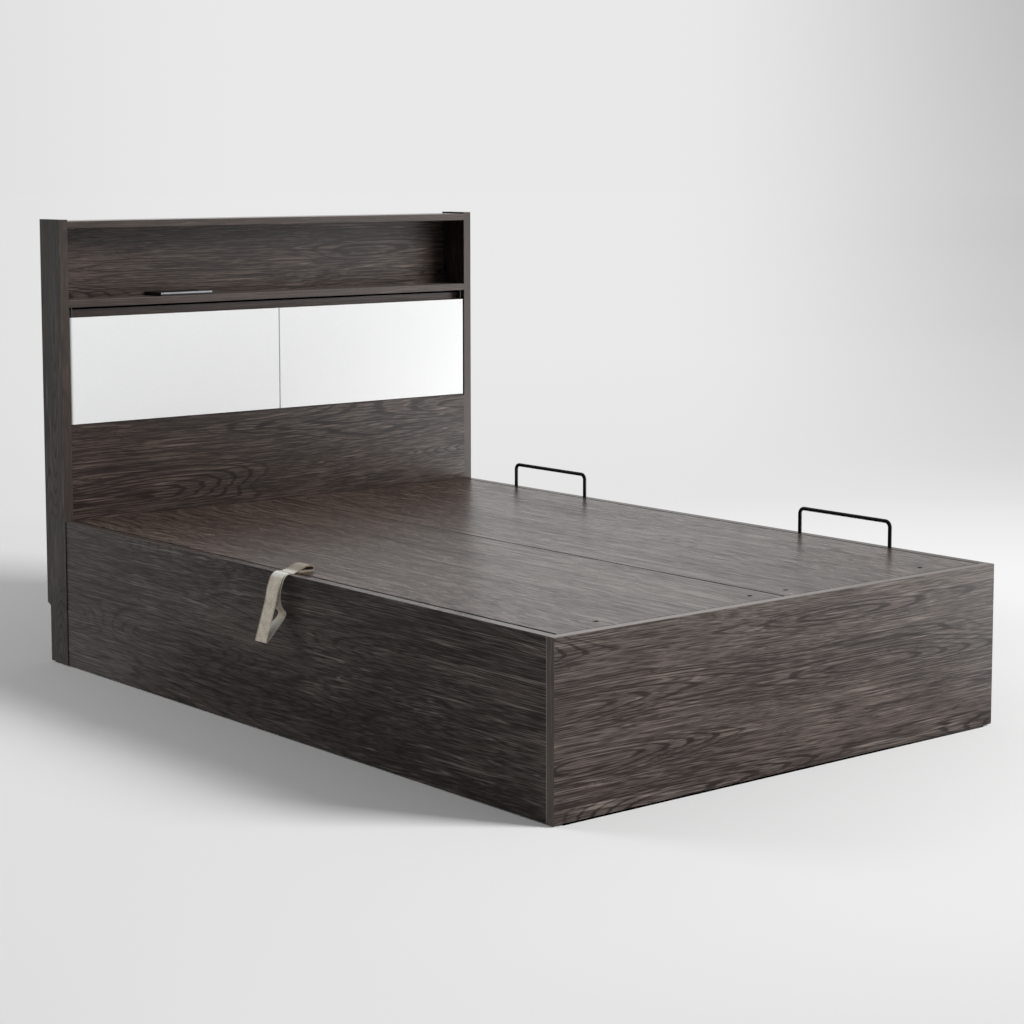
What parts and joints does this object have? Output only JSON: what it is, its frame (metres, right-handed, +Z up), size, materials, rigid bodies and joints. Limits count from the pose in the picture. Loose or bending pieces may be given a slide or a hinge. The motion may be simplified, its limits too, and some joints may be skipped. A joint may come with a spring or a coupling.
{
  "type": "storage platform bed",
  "caption": "Storage platform bed with a gas-assisted deck that lifts from one side, a pull strap, mattress stop bars and a shelf headboard with doors and an outlet box.",
  "frame": {"origin": "middle of the overall box on the floor, under the bed", "axes": "+Z up, +Y along the bed towards the headboard, -X towards the side that opens and carries the pull strap"},
  "size_m": [1.453, 2.126, 1.203],
  "materials": {
    "charcoal_wood": "charcoal wood-grain laminate, satin",
    "charcoal_deck": "charcoal wood-grain laminate, semi-gloss",
    "black_steel": "black powder coat",
    "zinc_steel": "zinc plated",
    "chrome_rod": "polished hard chrome",
    "webbing": "cream polyester webbing",
    "black_plastic": "fine satin",
    "white_gloss": "white high gloss laminate",
    "aluminium_trim": "brushed aluminium"
  },
  "bodies": {
    "carcass": {"side_rail_near": "charcoal_wood", "side_rail_far": "charcoal_wood", "foot_panel": "charcoal_wood", "headboard_side_near": "charcoal_wood", "headboard_side_far": "charcoal_wood", "headboard_top": "charcoal_wood", "headboard_shelf": "charcoal_wood", "headboard_back": "charcoal_wood", "groove_strip": "charcoal_wood", "headboard_lower_panel": "charcoal_wood", "cupboard_floor": "charcoal_wood", "cupboard_divider": "charcoal_wood", "door_catch": "zinc_steel", "door_pins": "black_steel", "storage_divider": "charcoal_wood", "floor_panel_foot": "charcoal_wood", "floor_panel_head": "charcoal_wood", "cleat_near_foot": "charcoal_wood", "cleat_near_head": "charcoal_wood", "cleat_foot": "charcoal_wood", "cleat_head": "charcoal_wood", "corner_bracket_near_foot": "zinc_steel", "corner_bracket_far_foot": "zinc_steel", "corner_bracket_near_head": "zinc_steel", "corner_bracket_far_head": "zinc_steel", "lift_plate_foot": "black_steel", "lift_plate_head": "black_steel", "stop_bar_foot": "black_steel", "stop_bar_head": "black_steel", "glides": "black_plastic", "outlet_frame": "black_plastic", "outlet_well": "black_plastic", "outlet_sockets": "black_plastic", "outlet_gland": "black_plastic", "outlet_lid_pin": "zinc_steel"},
    "deck": {"deck_board_near": "charcoal_deck", "deck_board_far": "charcoal_deck", "tube_near": "black_steel", "tube_far": "black_steel", "tube_foot": "black_steel", "tube_head": "black_steel", "tube_cross_foot": "black_steel", "tube_cross_mid": "black_steel", "tube_cross_head": "black_steel", "deck_screws": "black_steel", "hinge_pin_foot": "zinc_steel", "hinge_pin_head": "zinc_steel", "strut_pin_foot": "zinc_steel", "strut_pin_head": "zinc_steel", "pull_strap": "webbing", "strap_clamp": "zinc_steel"},
    "gas_cylinder_foot": {"gas_cylinder_foot": "black_steel"},
    "gas_rod_foot": {"gas_rod_foot": "chrome_rod"},
    "gas_cylinder_head": {"gas_cylinder_head": "black_steel"},
    "gas_rod_head": {"gas_rod_head": "chrome_rod"},
    "door_near": {"door_near": "white_gloss"},
    "door_far": {"door_far": "white_gloss"},
    "outlet_lid": {"outlet_lid": "black_plastic", "outlet_lid_trim": "aluminium_trim"}
  },
  "joints": [
    {"name": "deck_lift", "type": "hinge", "parent": "carcass", "child": "deck", "pos_m": [0.60455, -0.053, 0.37], "axis": [0, 1, 0], "range_deg": [0, 45]},
    {"name": "strut_foot_swing", "type": "hinge", "parent": "carcass", "child": "gas_cylinder_foot", "pos_m": [0.59955, -1.013, 0.294], "axis": [0, 1, 0], "range_deg": [0, 41]},
    {"name": "strut_foot_stroke", "type": "slide", "parent": "gas_cylinder_foot", "child": "gas_rod_foot", "axis": [-0.9699, 0, 0.2434], "range_m": [0, 0.054]},
    {"name": "strut_head_swing", "type": "hinge", "parent": "carcass", "child": "gas_cylinder_head", "pos_m": [0.59955, 0.932, 0.294], "axis": [0, 1, 0], "range_deg": [0, 41]},
    {"name": "strut_head_stroke", "type": "slide", "parent": "gas_cylinder_head", "child": "gas_rod_head", "axis": [-0.9699, 0, 0.2434], "range_m": [0, 0.054]},
    {"name": "door_near_swing", "type": "hinge", "parent": "carcass", "child": "door_near", "pos_m": [-0.62895, 0.965, 0.798], "axis": [0, 0, -1], "range_deg": [0, 90]},
    {"name": "door_far_swing", "type": "hinge", "parent": "carcass", "child": "door_far", "pos_m": [0.69205, 0.965, 0.798], "axis": [0, 0, 1], "range_deg": [0, 90]},
    {"name": "outlet_lid_flip", "type": "hinge", "parent": "carcass", "child": "outlet_lid", "pos_m": [-0.26345, 1.053, 0.9956], "axis": [-1, 0, 0], "range_deg": [0, 90]}
  ],
  "couplings": [
    {"joint": "strut_foot_swing", "follows": "deck_lift", "ratio": 0.8812},
    {"joint": "strut_foot_stroke", "follows": "deck_lift", "m_per_rad": 0.067},
    {"joint": "strut_head_swing", "follows": "deck_lift", "ratio": 0.8812},
    {"joint": "strut_head_stroke", "follows": "deck_lift", "m_per_rad": 0.067}
  ]
}
